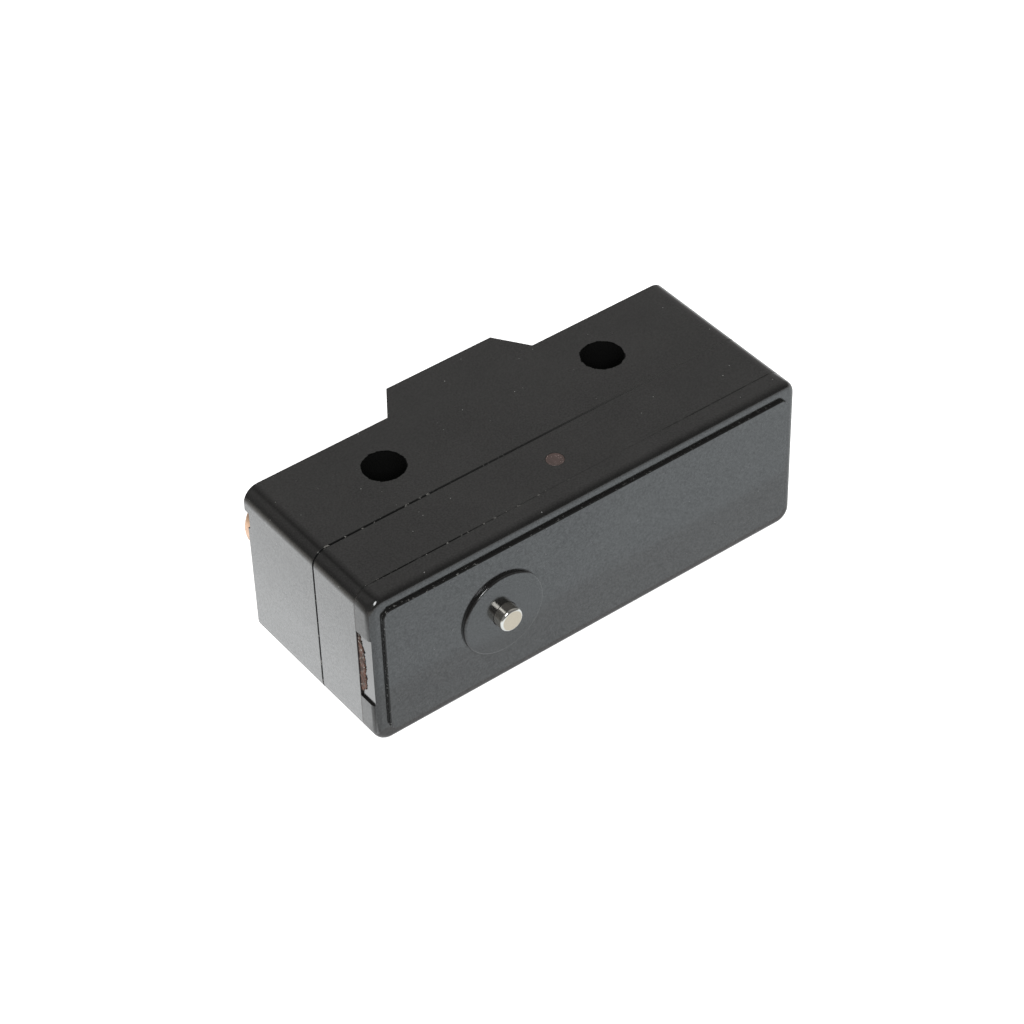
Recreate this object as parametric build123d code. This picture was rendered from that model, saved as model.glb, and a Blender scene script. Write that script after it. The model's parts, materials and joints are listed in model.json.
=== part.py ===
from build123d import *
import math
import os

# Snap-action micro switch with a pin plunger and screw terminals, in millimetres.
# X runs along the body, the plunger looks along -Y and the mounting holes run along Z.
# The origin is midway between the two mounting holes, on the broad face that it lies on.

# Body
body_length = 49.2
body_thickness = 17.45
end_corner_radius = 1.6
hole_pitch = 25.4
hole_diameter = 4.2

# Depths, from the line through the two mounting holes
shoulder_depth = 5.35
hump_rise = 3.5
base_depth = 5.65
middle_depth = 6.35
cover_depth = 2.25
panel_rise = 0.35
boss_rise = 0.38
pin_stick_out = 1.2

# Back of the body
hump_root_width = 16.95
hump_top_width = 12.2
channel_depth = 0.35
lip_thickness = 2.4
lip_groove_depth = 0.3
lip_groove_width = 1.9

# Walls and joints between the mouldings
end_wall = 1.5
side_wall = 2.2
front_wall = 1.1
base_pocket_depth = 1.45
cavity_corner_radius = 1.0
case_joint_chamfer = 0.12
tongue_length = 0.6
tongue_wall = 0.7
tongue_clearance = 0.06

# Front panel and boss
front_edge_radius = 0.75
panel_end_inset = 1.3
panel_side_inset = 1.45
panel_corner_radius = 0.8
panel_edge_chamfer = 0.08
boss_diameter = 8.9
guide_diameter = 6.0
guide_length = 0.7

# Notch in the left end of the cover, with its strip of resin
notch_height = 7.45
notch_length = 2.2
notch_depth = 0.2
notch_offset = 0.38
seal_margin = 0.2
seal_width = 0.85
seal_thickness = 0.12

# Resin plug in the top wall of the middle case
plug_diameter = 1.75
plug_setback = 3.4
plug_clearance = 0.02

# Pins that line up the mouldings
locating_pin_diameter = 1.0
locating_pin_inset = 5.0
locating_pin_depth = 1.2
locating_pin_clearance = 0.02

# Plunger
pin_diameter = 2.5
pin_edge_chamfer = 0.2
pin_clearance = 0.05
plunger_offset = 2.15
plunger_travel = 0.53
spigot_diameter = 1.6
spigot_length = 1.1
collar_diameter = 4.8
collar_thickness = 1.2
stem_diameter = 1.6
rest_gap = 0.04

# Terminal strips and their slots
sheet = 0.8
strip_width = 6.4
bend_radius = 0.9
slot_clearance = 0.05
terminal_inset = 5.7
plate_reach = 4.0
post_gap = 1.2
normally_closed_post_x = 4.4
leg_width = 1.6
leg_gap = 0.42
leg_clearance = 0.5
contact_margin = 2.2

# Terminal screws and washers
screw_diameter = 3.9
screw_length = 5.0
screw_clearance = 0.05
screw_head_diameter = 7.4
screw_head_height = 3.05
screw_head_chamfer = 0.5
screw_well_clearance = 0.3
screw_well_spare = 0.5
drive_slot_width = 1.0
drive_slot_depth = 1.1
cross_width = 0.9
cross_length = 4.2
cross_depth = 1.7
common_screw_turn = -30
closed_screw_turn = -35
open_screw_turn = 50
washer_diameter = 7.7
washer_thickness = 0.7
washer_bore_clearance = 0.12
washer_teeth = 8
washer_tooth_depth = 0.75
washer_tooth_flanks = (0.3, 0.38)

# Contact arm
arm_thickness = 0.3
arm_corner_radius = 1.2
arm_bridge = 0.9
arm_edge_radius = 0.14
tongue_width = 3.6
hook_clearance = 0.03
hook_notch_half = 0.3
hook_end = 1.0
hook_shoulder = 0.6
window_width = 4.2
window_length = 14.5
window_to_contact = 6.0

# Contact rivets
contact_diameter = 3.3
contact_head = 0.7
contact_shank_diameter = 1.8
contact_from_wall = 9.1
fixed_contact_head = 1.0
fixed_contact_dome = 0.15

# Bow spring and its anchor
anchor_sheet = 0.8
anchor_width = 3.2
anchor_foot = 4.0
anchor_gap = 1.5
anchor_rivet_diameter = 1.6
anchor_rivet_head = 2.6
anchor_rivet_rise = 0.45
spring_thickness = 0.2
spring_width = 3.0
spring_bow = 2.1
spring_end_gap = 0.14
spring_notch_depth = 0.3

# Places worked out from the sizes
middle_z = body_thickness / 2
body_end = body_length / 2
hump_y = shoulder_depth + hump_rise
case_split_y = -base_depth
cover_split_y = case_split_y - middle_depth
rim_y = cover_split_y - cover_depth
panel_y = rim_y - panel_rise
boss_y = panel_y - boss_rise
tip_y = boss_y - pin_stick_out
cavity_length = body_length - 2 * end_wall
cavity_height = body_thickness - 2 * side_wall
cavity_end = cavity_length / 2
floor_y = case_split_y + base_pocket_depth
inner_front_y = rim_y + front_wall
guide_end_y = inner_front_y + guide_length
channel_y = shoulder_depth - channel_depth
hump_channel_y = hump_y - channel_depth
screw_x = body_end - terminal_inset
post_x = cavity_end - post_gap - sheet / 2
plunger_x = plunger_offset - hole_pitch / 2
contact_x = cavity_end - contact_from_wall

# The arm turns about the line where its edge sits in the hook's notch
notch_apex_x = -post_x - sheet / 2 + hook_notch_half
pivot_x = notch_apex_x - arm_thickness / 2 * math.sqrt(2) - hook_clearance
arm_turn = plunger_travel / (plunger_x - pivot_x)
arm_reach = contact_x - pivot_x
contact_half = arm_thickness / 2 + contact_head
open_face_y = floor_y - sheet - fixed_contact_head
dome_radius = ((contact_diameter / 2) ** 2 + fixed_contact_dome**2) / (2 * fixed_contact_dome)
swept_depth = dome_radius + rest_gap + contact_half + arm_reach * math.sin(arm_turn)
arm_y = open_face_y + dome_radius - swept_depth / math.cos(arm_turn)
closed_face_y = arm_y - contact_half - rest_gap
closed_strip_y = closed_face_y - fixed_contact_head - sheet / 2
window_end_x = contact_x - window_to_contact
anchor_x = window_end_x - window_length + anchor_gap + anchor_sheet / 2


def block(x, y, z):
    """A block between two places along each axis."""
    size = [abs(span[1] - span[0]) for span in (x, y, z)]
    centre = [(span[0] + span[1]) / 2 for span in (x, y, z)]
    return Pos(*centre) * Box(*size)


def slab(width, height, radius, y_back, y_front, x=0, z=middle_z):
    """A round-cornered block whose broad face looks along Y."""
    outline = Plane.XZ.offset(-y_back) * Pos(x, z) * RectangleRounded(width, height, radius)
    return extrude(outline, y_back - y_front)


def rod(radius, y_back, y_front, x, z=middle_z):
    """A round bar along Y."""
    return extrude(Plane.XZ.offset(-y_back) * Pos(x, z) * Circle(radius), y_back - y_front)


def front_edges(solid):
    """The outline of the face that looks furthest along -Y."""
    return solid.faces().sort_by(Axis.Y)[0].outer_wire().edges()


def back_edges(solid):
    """The outline of the face that looks furthest along +Y."""
    return solid.faces().sort_by(Axis.Y)[-1].outer_wire().edges()


def strip(points, z_low, z_high, spare=0.0):
    """Sheet metal folded along a route in the XY plane, standing between two heights."""
    route = FilletPolyline(*points, radius=bend_radius)
    section = trace(route, sheet + 2 * spare)
    return extrude(Pos(0, 0, z_low - spare) * section, z_high - z_low + 2 * spare)


def outer_bar(y_back, y_front):
    """A length of the body with its four rounded long edges."""
    return slab(body_length, body_thickness, end_corner_radius, y_back, y_front)


# Routes of the three terminal strips, along the middle of the sheet
strip_low = middle_z - strip_width / 2
strip_high = middle_z + strip_width / 2
leg_low = side_wall + leg_gap
leg_high = leg_low + leg_width
arm_width = 2 * (middle_z - leg_high - leg_clearance)
plate_y = channel_y + sheet / 2 + slot_clearance
hump_plate_y = hump_channel_y + sheet / 2 + slot_clearance
hook_end_y = arm_y - hook_end
common_route = [
    (plate_reach - screw_x, plate_y),
    (-post_x, plate_y),
    (-post_x, hook_end_y),
]
open_route = [
    (screw_x - plate_reach, plate_y),
    (post_x, plate_y),
    (post_x, floor_y - sheet / 2),
    (contact_x - contact_margin, floor_y - sheet / 2),
]
closed_route = [
    (-plate_reach, hump_plate_y),
    (normally_closed_post_x, hump_plate_y),
    (normally_closed_post_x, closed_strip_y),
    (contact_x + contact_margin, closed_strip_y),
]


def locating_pins(spare=0.0):
    """Two pins in opposite corners of the walls, across both joints between the mouldings."""
    radius = locating_pin_diameter / 2 + spare
    y_back = case_split_y + locating_pin_depth + spare
    y_front = cover_split_y - locating_pin_depth - spare
    x = body_end - locating_pin_inset
    z = side_wall / 2
    return [rod(radius, y_back, y_front, -x, z), rod(radius, y_back, y_front, x, body_thickness - z)]


def make_base_case():
    """Moulding with the mounting holes, the terminal channels and the pocket for the contacts."""
    case = outer_bar(shoulder_depth, case_split_y)
    case = chamfer(front_edges(case), case_joint_chamfer)
    hump_outline = make_face(
        Polyline(
            (-hump_root_width / 2, 0),
            (-hump_root_width / 2, shoulder_depth),
            (-hump_top_width / 2, hump_y),
            (hump_top_width / 2, hump_y),
            (hump_root_width / 2, shoulder_depth),
            (hump_root_width / 2, 0),
            close=True,
        )
    )
    case += extrude(hump_outline, body_thickness)
    channel = (-1, body_thickness - lip_thickness)
    groove = (channel[1] - lip_groove_width, channel[1])
    for side in (-1, 1):
        ends = (side * hump_root_width / 2, side * (body_end + 1))
        case -= block(ends, (channel_y, hump_y), channel)
        case -= block(ends, (channel_y - lip_groove_depth, hump_y), groove)
    case -= block((-hump_root_width, hump_root_width), (hump_channel_y, hump_y + 1), channel)
    case -= slab(cavity_length, cavity_height, cavity_corner_radius, floor_y, case_split_y - 1)
    for x, y in ((-screw_x, channel_y), (0, hump_channel_y), (screw_x, channel_y)):
        y_seat = y + sheet + slot_clearance + washer_thickness
        well_bottom = y_seat - screw_length - screw_well_spare
        case -= rod(screw_diameter / 2 + screw_well_clearance, y + 1, well_bottom, x)
    case -= strip(common_route, strip_low, strip_high, slot_clearance)
    case -= strip(open_route, strip_low, strip_high, slot_clearance)
    case -= strip(closed_route, strip_low, strip_high, slot_clearance)
    for x in (-hole_pitch / 2, hole_pitch / 2):
        case -= Pos(x, 0, middle_z) * Cylinder(hole_diameter / 2, body_thickness + 2)
    for pin in locating_pins(locating_pin_clearance):
        case -= pin
    return case


def make_middle_case():
    """Moulded ring between the base and the cover, with the hole for the resin plug."""
    case = outer_bar(case_split_y, cover_split_y)
    case = chamfer(back_edges(case), case_joint_chamfer)
    case -= slab(cavity_length, cavity_height, cavity_corner_radius, case_split_y, cover_split_y)
    plug_y = case_split_y - plug_setback
    hole_radius = plug_diameter / 2 + plug_clearance
    case -= Pos(0, plug_y, body_thickness - side_wall / 2) * Cylinder(hole_radius, side_wall + 1)
    for pin in locating_pins(locating_pin_clearance):
        case -= pin
    return case


def make_seal_plug():
    """Resin plug, flush with the top of the middle case."""
    plug = Cylinder(plug_diameter / 2, side_wall, align=(Align.CENTER, Align.CENTER, Align.MAX))
    return Pos(0, case_split_y - plug_setback, body_thickness) * plug


def make_front_cover():
    """Moulding with the raised panel, the plunger boss, the inner tongue and the end notch."""
    cover = outer_bar(cover_split_y, rim_y)
    cover = fillet(front_edges(cover), front_edge_radius)
    panel_length = body_length - 2 * panel_end_inset
    panel_height = body_thickness - 2 * panel_side_inset
    panel = slab(panel_length, panel_height, panel_corner_radius, rim_y + front_wall / 2, panel_y)
    cover += chamfer(front_edges(panel), panel_edge_chamfer)
    cover += rod(boss_diameter / 2, rim_y + front_wall / 2, boss_y, plunger_x)
    ring_length = cavity_length - 2 * tongue_clearance
    ring_height = cavity_height - 2 * tongue_clearance
    ring_end_y = cover_split_y + tongue_length
    cover += slab(ring_length, ring_height, cavity_corner_radius, ring_end_y, cover_split_y - front_wall / 2)
    hollow_length = ring_length - 2 * tongue_wall
    hollow_height = ring_height - 2 * tongue_wall
    hollow_radius = cavity_corner_radius / 2
    cover -= slab(hollow_length, hollow_height, hollow_radius, ring_end_y, inner_front_y)
    cover += rod(guide_diameter / 2, guide_end_y, inner_front_y - front_wall / 2, plunger_x)
    cover -= rod(pin_diameter / 2 + pin_clearance, ring_end_y, tip_y, plunger_x)
    notch_z = middle_z + notch_offset
    cover -= block(
        (-body_end - 1, notch_depth - body_end),
        (cover_split_y - notch_length, cover_split_y + 1),
        (notch_z - notch_height / 2, notch_z + notch_height / 2),
    ) - block(
        (-body_end - 2, body_end),
        (cover_split_y, cover_split_y + 2),
        (0, body_thickness),
    )
    for pin in locating_pins(locating_pin_clearance):
        cover -= pin
    return cover


def make_end_seal():
    """Broken strip of resin along the joint, on the floor of the notch."""
    low = middle_z + notch_offset - notch_height / 2 + seal_margin
    high = low + notch_height - 2 * seal_margin
    y_joint = cover_split_y - rest_gap
    broken_edge = (1.0, 0.7, 0.95, 0.6, 0.9, 0.75, 1.0, 0.65, 0.85, 0.55)
    step = (high - low) / (len(broken_edge) - 1)
    points = [(y_joint - seal_width * share, low + i * step) for i, share in enumerate(broken_edge)]
    points += [(y_joint, high), (y_joint, low)]
    outline = make_face(Polyline(*points, close=True))
    return extrude(Plane.YZ.offset(notch_depth - body_end) * outline, -seal_thickness)


def make_pin_plunger():
    """Turned pin: the working end, the shaft and the spigot inside the foot."""
    shaft = rod(pin_diameter / 2, guide_end_y + rest_gap, tip_y, plunger_x)
    shaft = chamfer(front_edges(shaft), pin_edge_chamfer)
    spigot_end_y = guide_end_y + rest_gap + spigot_length
    return shaft + rod(spigot_diameter / 2, spigot_end_y, guide_end_y, plunger_x)


def make_plunger_foot():
    """Moulded foot: the collar stops against the guide and the narrow stem presses the arm."""
    collar_y = guide_end_y + rest_gap
    stem_end_y = arm_y - arm_thickness / 2 - rest_gap
    foot = rod(collar_diameter / 2, collar_y + collar_thickness, collar_y, plunger_x)
    foot += rod(stem_diameter / 2, stem_end_y, collar_y, plunger_x)
    return foot - rod(spigot_diameter / 2, collar_y + spigot_length, collar_y, plunger_x)


def make_contact_arm():
    """Stamped arm with the hook slot, the spring window and the rivet hole."""
    left = pivot_x - arm_bridge
    right = contact_x + contact_margin
    back_y = arm_y + arm_thickness / 2
    front_y = arm_y - arm_thickness / 2
    middle_x = (left + right) / 2
    arm = slab(right - left, arm_width, arm_corner_radius, back_y, front_y, middle_x)
    slot_start = pivot_x + arm_thickness / 2
    slot_end = sheet / 2 - post_x + arm_bridge
    slot_half = tongue_width / 2 + leg_clearance
    arm -= block((slot_start, slot_end), (back_y, front_y), (middle_z - slot_half, middle_z + slot_half))
    window_z = (middle_z - window_width / 2, middle_z + window_width / 2)
    arm -= block((window_end_x - window_length, window_end_x), (back_y, front_y), window_z)
    arm -= rod(contact_shank_diameter / 2, back_y, front_y, contact_x)
    bearing = [e for e in arm.edges().filter_by(Axis.Z) if abs(e.center().X - slot_start) < 0.01]
    return fillet(bearing, arm_edge_radius)


def make_moving_contact():
    """Double-faced rivet in the arm."""
    back_y = arm_y + contact_half
    front_y = arm_y - contact_half
    heads = rod(contact_diameter / 2, back_y, arm_y + arm_thickness / 2, contact_x)
    heads += rod(contact_diameter / 2, arm_y - arm_thickness / 2, front_y, contact_x)
    return heads + rod(contact_shank_diameter / 2, back_y, front_y, contact_x)


def fixed_contact(face_y, way):
    """Rivet with a domed face; way is -1 where the face looks along -Y and 1 along +Y."""
    seat_y = face_y - way * fixed_contact_head
    tail_y = seat_y - way * sheet
    head = rod(contact_diameter / 2, max(face_y, seat_y), min(face_y, seat_y), contact_x)
    ball = Pos(contact_x, face_y - way * dome_radius, middle_z) * Sphere(dome_radius)
    shank = rod(contact_shank_diameter / 2, max(seat_y, tail_y), min(seat_y, tail_y), contact_x)
    return (head & ball) + shank


def contact_hole(y):
    """The hole that a fixed contact's shank fills, through a strip at y."""
    return rod(contact_shank_diameter / 2, y + sheet, y - sheet, contact_x)


def screw_hole(x, y):
    """The hole of a terminal screw, through a plate at y."""
    return rod(screw_diameter / 2 + screw_clearance, y + sheet, y - sheet, x)


def make_com_terminal():
    """Common terminal: plate, post with the hook for the arm, and the foot under the anchor."""
    terminal = strip(common_route, strip_low, strip_high)
    terminal -= screw_hole(-screw_x, plate_y)
    shoulder_y = arm_y + hook_shoulder
    for side in (-1, 1):
        outer = (middle_z + side * tongue_width / 2, middle_z + side * strip_width)
        terminal -= block((-cavity_end, sheet - post_x), (shoulder_y, hook_end_y - 1), outer)
    notch = make_face(
        Polyline(
            (notch_apex_x, arm_y),
            (notch_apex_x - 2 * hook_notch_half, arm_y + 2 * hook_notch_half),
            (notch_apex_x - 2 * hook_notch_half, arm_y - 2 * hook_notch_half),
            close=True,
        )
    )
    terminal -= extrude(notch, body_thickness)
    foot_z = (middle_z - anchor_width / 2, middle_z + anchor_width / 2)
    terminal += block((-post_x, anchor_x), (floor_y, floor_y - sheet), foot_z)
    rivet_x = anchor_x - anchor_foot + anchor_rivet_head / 2
    return terminal - rod(anchor_rivet_diameter / 2, floor_y, floor_y - 2 * sheet, rivet_x)


def make_no_terminal():
    """Normally open terminal: plate, post and the strip on the pocket's floor."""
    terminal = strip(open_route, strip_low, strip_high)
    terminal -= screw_hole(screw_x, plate_y)
    return terminal - contact_hole(floor_y - sheet / 2)


def make_nc_terminal():
    """Normally closed terminal: plate, post, narrow leg beside the arm, and the front strip."""
    terminal = strip(closed_route, leg_low, strip_high)
    beyond = closed_strip_y - sheet
    legs = (normally_closed_post_x - sheet, normally_closed_post_x + sheet)
    terminal -= block((-hump_root_width, hump_root_width), (hump_y + sheet, floor_y), (0, strip_low))
    terminal -= block(legs, (floor_y - 1.5 * sheet, beyond), (leg_high, body_thickness))
    terminal -= screw_hole(0, hump_plate_y)
    return terminal - contact_hole(closed_strip_y)


def make_spring_anchor():
    """Bent bracket: its foot is riveted down and its notch holds the end of the bow spring."""
    foot_y = floor_y - sheet - anchor_sheet / 2
    notch_y = arm_y + arm_thickness + 2 * spring_notch_depth
    end_y = notch_y - 2 * spring_notch_depth
    route = FilletPolyline(
        (anchor_x - anchor_foot, foot_y), (anchor_x, foot_y), (anchor_x, end_y), radius=bend_radius
    )
    low = middle_z - anchor_width / 2
    anchor = extrude(Pos(0, 0, low) * trace(route, anchor_sheet), anchor_width)
    apex_x = anchor_x + anchor_sheet / 2 - spring_notch_depth
    notch = make_face(
        Polyline(
            (apex_x, notch_y),
            (apex_x + 2 * spring_notch_depth, notch_y + 2 * spring_notch_depth),
            (apex_x + 2 * spring_notch_depth, notch_y - 2 * spring_notch_depth),
            close=True,
        )
    )
    anchor -= extrude(notch, body_thickness)
    rivet_x = anchor_x - anchor_foot + anchor_rivet_head / 2
    return anchor - rod(anchor_rivet_diameter / 2, floor_y, foot_y - anchor_sheet, rivet_x)


def make_anchor_rivet():
    """Rivet through the anchor's foot and the common terminal."""
    rivet_x = anchor_x - anchor_foot + anchor_rivet_head / 2
    head_y = floor_y - sheet - anchor_sheet
    head = rod(anchor_rivet_head / 2, head_y, head_y - anchor_rivet_rise, rivet_x)
    return head + rod(anchor_rivet_diameter / 2, floor_y, head_y, rivet_x)


def make_bow_spring():
    """Bowed strip that pushes the arm off its dead centre."""
    start_x = anchor_x + anchor_sheet / 2 - spring_notch_depth + spring_end_gap
    start_y = arm_y + arm_thickness + 2 * spring_notch_depth
    end_x = window_end_x - spring_end_gap
    top = ((start_x + end_x) / 2, (start_y + arm_y) / 2 + spring_bow)
    route = ThreePointArc((start_x, start_y), top, (end_x, arm_y))
    low = middle_z - spring_width / 2
    return extrude(Pos(0, 0, low) * trace(route, spring_thickness), spring_width)


def make_screw(x, seat_y, turn):
    """Terminal screw with a slot and a cross in its head."""
    top_y = seat_y + screw_head_height
    head = rod(screw_head_diameter / 2, top_y, seat_y, x)
    head = chamfer(back_edges(head), screw_head_chamfer)
    shank = rod(screw_diameter / 2, seat_y, seat_y - screw_length, x)
    slot = Box(screw_head_diameter + 1, 2 * drive_slot_depth, drive_slot_width)
    cross = Box(cross_length, 2 * cross_depth, cross_width)
    recess = slot + cross + Rot(0, 90, 0) * cross
    return head + shank - Pos(x, top_y, middle_z) * Rot(0, turn, 0) * recess


def make_washer(x, seat_y):
    """Toothed washer that stays on the screw."""
    tip = washer_diameter / 2
    root = tip - washer_tooth_depth
    tip_share, root_share = washer_tooth_flanks
    points = []
    for i in range(washer_teeth):
        for share, radius in ((-tip_share, tip), (tip_share, tip), (root_share, root), (1 - root_share, root)):
            angle = 2 * math.pi * (i + share) / washer_teeth
            points.append((radius * math.cos(angle), radius * math.sin(angle)))
    outline = make_face(Polyline(*points, close=True))
    washer = extrude(Plane.XZ.offset(-seat_y) * Pos(x, middle_z) * outline, washer_thickness)
    bore_radius = screw_diameter / 2 + washer_bore_clearance
    return washer - rod(bore_radius, seat_y, seat_y - washer_thickness, x)


os.makedirs("parts", exist_ok=True)
seat_y = plate_y + sheet / 2 + washer_thickness
hump_seat_y = hump_plate_y + sheet / 2 + washer_thickness
pieces = {
    "base_case": make_base_case(),
    "middle_case": make_middle_case(),
    "front_cover": make_front_cover(),
    "seal_plug": make_seal_plug(),
    "end_seal": make_end_seal(),
    "locating_pins": Compound(children=locating_pins()),
    "com_terminal": make_com_terminal(),
    "nc_terminal": make_nc_terminal(),
    "no_terminal": make_no_terminal(),
    "nc_contact": fixed_contact(closed_face_y, 1),
    "no_contact": fixed_contact(open_face_y, -1),
    "spring_anchor": make_spring_anchor(),
    "anchor_rivet": make_anchor_rivet(),
    "bow_spring": make_bow_spring(),
    "pin_plunger": make_pin_plunger(),
    "plunger_foot": make_plunger_foot(),
    "contact_arm": make_contact_arm(),
    "moving_contact": make_moving_contact(),
    "com_screw": make_screw(-screw_x, seat_y, common_screw_turn),
    "nc_screw": make_screw(0, hump_seat_y, closed_screw_turn),
    "no_screw": make_screw(screw_x, seat_y, open_screw_turn),
    "com_washer": make_washer(-screw_x, seat_y),
    "nc_washer": make_washer(0, hump_seat_y),
    "no_washer": make_washer(screw_x, seat_y),
}
for name, piece in pieces.items():
    export_step(piece, f"parts/{name}.step")

print("pivot x", round(pivot_x, 4), "arm y", round(arm_y, 4))
print("arm turn in degrees", round(math.degrees(arm_turn), 4))
print("turn for each metre of travel", round(1000 * arm_turn / plunger_travel, 4))
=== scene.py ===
import json
import math

import bpy
from mathutils import Matrix, Vector


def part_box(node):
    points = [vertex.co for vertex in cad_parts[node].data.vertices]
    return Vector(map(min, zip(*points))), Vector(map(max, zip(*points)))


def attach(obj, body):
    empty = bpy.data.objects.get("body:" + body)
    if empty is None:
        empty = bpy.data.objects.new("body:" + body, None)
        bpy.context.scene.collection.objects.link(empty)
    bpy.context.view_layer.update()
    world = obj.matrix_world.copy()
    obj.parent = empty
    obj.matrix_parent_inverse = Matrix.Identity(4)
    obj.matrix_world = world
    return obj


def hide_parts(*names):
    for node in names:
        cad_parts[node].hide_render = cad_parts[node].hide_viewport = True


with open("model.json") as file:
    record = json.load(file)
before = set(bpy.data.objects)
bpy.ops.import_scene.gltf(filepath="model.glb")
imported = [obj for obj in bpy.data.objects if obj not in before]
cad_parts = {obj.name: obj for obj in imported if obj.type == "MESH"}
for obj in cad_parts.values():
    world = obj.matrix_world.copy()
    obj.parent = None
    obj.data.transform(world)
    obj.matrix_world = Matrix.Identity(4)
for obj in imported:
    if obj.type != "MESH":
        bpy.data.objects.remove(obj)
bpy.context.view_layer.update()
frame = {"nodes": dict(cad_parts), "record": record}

mm = 0.001
hair = 1e-6  # places closer than this are one place
nodes = frame["nodes"]
pinLow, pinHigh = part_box("pin_plunger")
pinMiddle = (pinLow + pinHigh) / 2
print("frame loaded with", len(nodes), "nodes")


# materials, each of them a graph of nodes; a noise is given by its scale, detail and roughness

# parts of a noise's levels that are spread out from 0 to 1
wideSpan, midSpan, narrowSpan = (0.3, 0.7), (0.35, 0.65), (0.4, 0.6)


def newMaterial(name):
    material = bpy.data.materials.new(name)
    material.use_nodes = True
    graph = material.node_tree
    return material, graph, graph.nodes["Principled BSDF"]


def objectPoints(graph):
    # object coordinates, so a pattern stays on the piece when it moves
    return graph.nodes.new("ShaderNodeTexCoord").outputs["Object"]


def axes(graph, points):
    split = graph.nodes.new("ShaderNodeSeparateXYZ")
    graph.links.new(points, split.inputs[0])
    return split.outputs["X"], split.outputs["Y"], split.outputs["Z"]


def plug(graph, value, socket):
    # a link where the value comes from a node, else a plain number or color
    if hasattr(value, "is_linked"):
        graph.links.new(value, socket)
    else:
        socket.default_value = value


def noise(graph, points, scale, detail, roughness):
    node = graph.nodes.new("ShaderNodeTexNoise")
    for name, number in (("Scale", scale), ("Detail", detail), ("Roughness", roughness)):
        node.inputs[name].default_value = number
    graph.links.new(points, node.inputs["Vector"])
    return node.outputs["Fac"]


def remap(graph, value, low, high, toLow=0, toHigh=1):
    node = graph.nodes.new("ShaderNodeMapRange")
    for name, number in zip(("From Min", "From Max", "To Min", "To Max"), (low, high, toLow, toHigh)):
        node.inputs[name].default_value = number
    graph.links.new(value, node.inputs["Value"])
    return node.outputs["Result"]


def calc(graph, operation, first, second=0.0):
    node = graph.nodes.new("ShaderNodeMath")
    node.operation = operation
    plug(graph, first, node.inputs[0])
    plug(graph, second, node.inputs[1])
    return node.outputs[0]


def product(graph, first, *factors):
    for factor in factors:
        first = calc(graph, "MULTIPLY", first, factor)
    return first


def under(graph, value, limit):
    return calc(graph, "LESS_THAN", value, limit)


def over(graph, value, limit):
    return calc(graph, "GREATER_THAN", value, limit)


def gapTo(graph, value, place):
    return calc(graph, "ABSOLUTE", calc(graph, "SUBTRACT", value, place))


def distance(graph, across, along):
    squares = [calc(graph, "POWER", side, 2.0) for side in (across, along)]
    return calc(graph, "SQRT", calc(graph, "ADD", *squares))


def rampOf(graph, value, stops):
    # a number that changes in straight steps along a value in millimetres
    curve = graph.nodes.new("ShaderNodeFloatCurve")
    low, high = stops[0][0], stops[-1][0]
    points = curve.mapping.curves[0].points
    for place, level in stops[1:-1]:
        points.new((place - low) / (high - low), level)
    points[0].location = (0, stops[0][1])
    points[len(points) - 1].location = (1, stops[-1][1])
    for point in points:
        point.handle_type = "VECTOR"
    curve.mapping.update()
    graph.links.new(remap(graph, value, low * mm, high * mm), curve.inputs["Value"])
    return curve.outputs["Value"]


def mixColor(graph, factor, first, second):
    node = graph.nodes.new("ShaderNodeMix")
    node.data_type = "RGBA"
    plug(graph, factor, node.inputs["Factor"])
    for socket, color in ((node.inputs[6], first), (node.inputs[7], second)):
        plug(graph, color if hasattr(color, "is_linked") else (*color, 1), socket)
    return node.outputs[2]


def mixValue(graph, factor, first, second):
    node = graph.nodes.new("ShaderNodeMix")
    plug(graph, factor, node.inputs["Factor"])
    plug(graph, first, node.inputs[2])
    plug(graph, second, node.inputs[3])
    return node.outputs[0]


def coat(graph, surface, mask, **layer):
    # lays a color, a roughness or a shine over the surface where the mask is 1
    for part, value in layer.items():
        mix = mixColor if part == "color" else mixValue
        surface[part] = mix(graph, mask, surface[part], value)


def bump(graph, height, strength, depth, previous=None):
    node = graph.nodes.new("ShaderNodeBump")
    node.inputs["Strength"].default_value = strength
    node.inputs["Distance"].default_value = depth
    graph.links.new(height, node.inputs["Height"])
    if previous:
        graph.links.new(previous, node.inputs["Normal"])
    return node.outputs["Normal"]


# black resin: clouded and glossy, with grain, a slow ripple and sparse dust
resinLook = {
    "dark": (0.0088, 0.0086, 0.0083),
    "pale": (0.0130, 0.0127, 0.0122),
    "rough": (0.15, 0.22),
    "ior": 1.58,
    "cloud": (160, 4, 0.6),
    "grain": (6200, 2, 0.5),
    "grainShine": (0.35, 0.65),
    "grainDepth": 0.005 * mm,
    "ripple": (300, 2, 0.5),
    "rippleDepth": 0.008 * mm,
    "relief": 0.5,
    "dustCells": 950,
    "dustSize": 0.066,
    "dustCore": 0.6,
    "dustShare": 0.60,
    "dustFaintest": 0.15,
    "dustColor": (0.22, 0.22, 0.215),
    "dustRough": 0.8,
}
# what the joints between the mouldings have in common; the top face begins right of topFrom
jointLook = {
    "topFrom": -24.4 * mm,
    "topTo": -23.6 * mm,
    "dashes": (620, 3, 0.6),
    "faintest": 0.2,
    "chips": (2500, 2, 0.6),
    "chipColor": (0.16, 0.155, 0.145),
    "chipFade": 20 * mm,
    "dustColor": (0.040, 0.0395, 0.0385),
    "rough": 0.75,
    "shine": 0.12,
}
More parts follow.
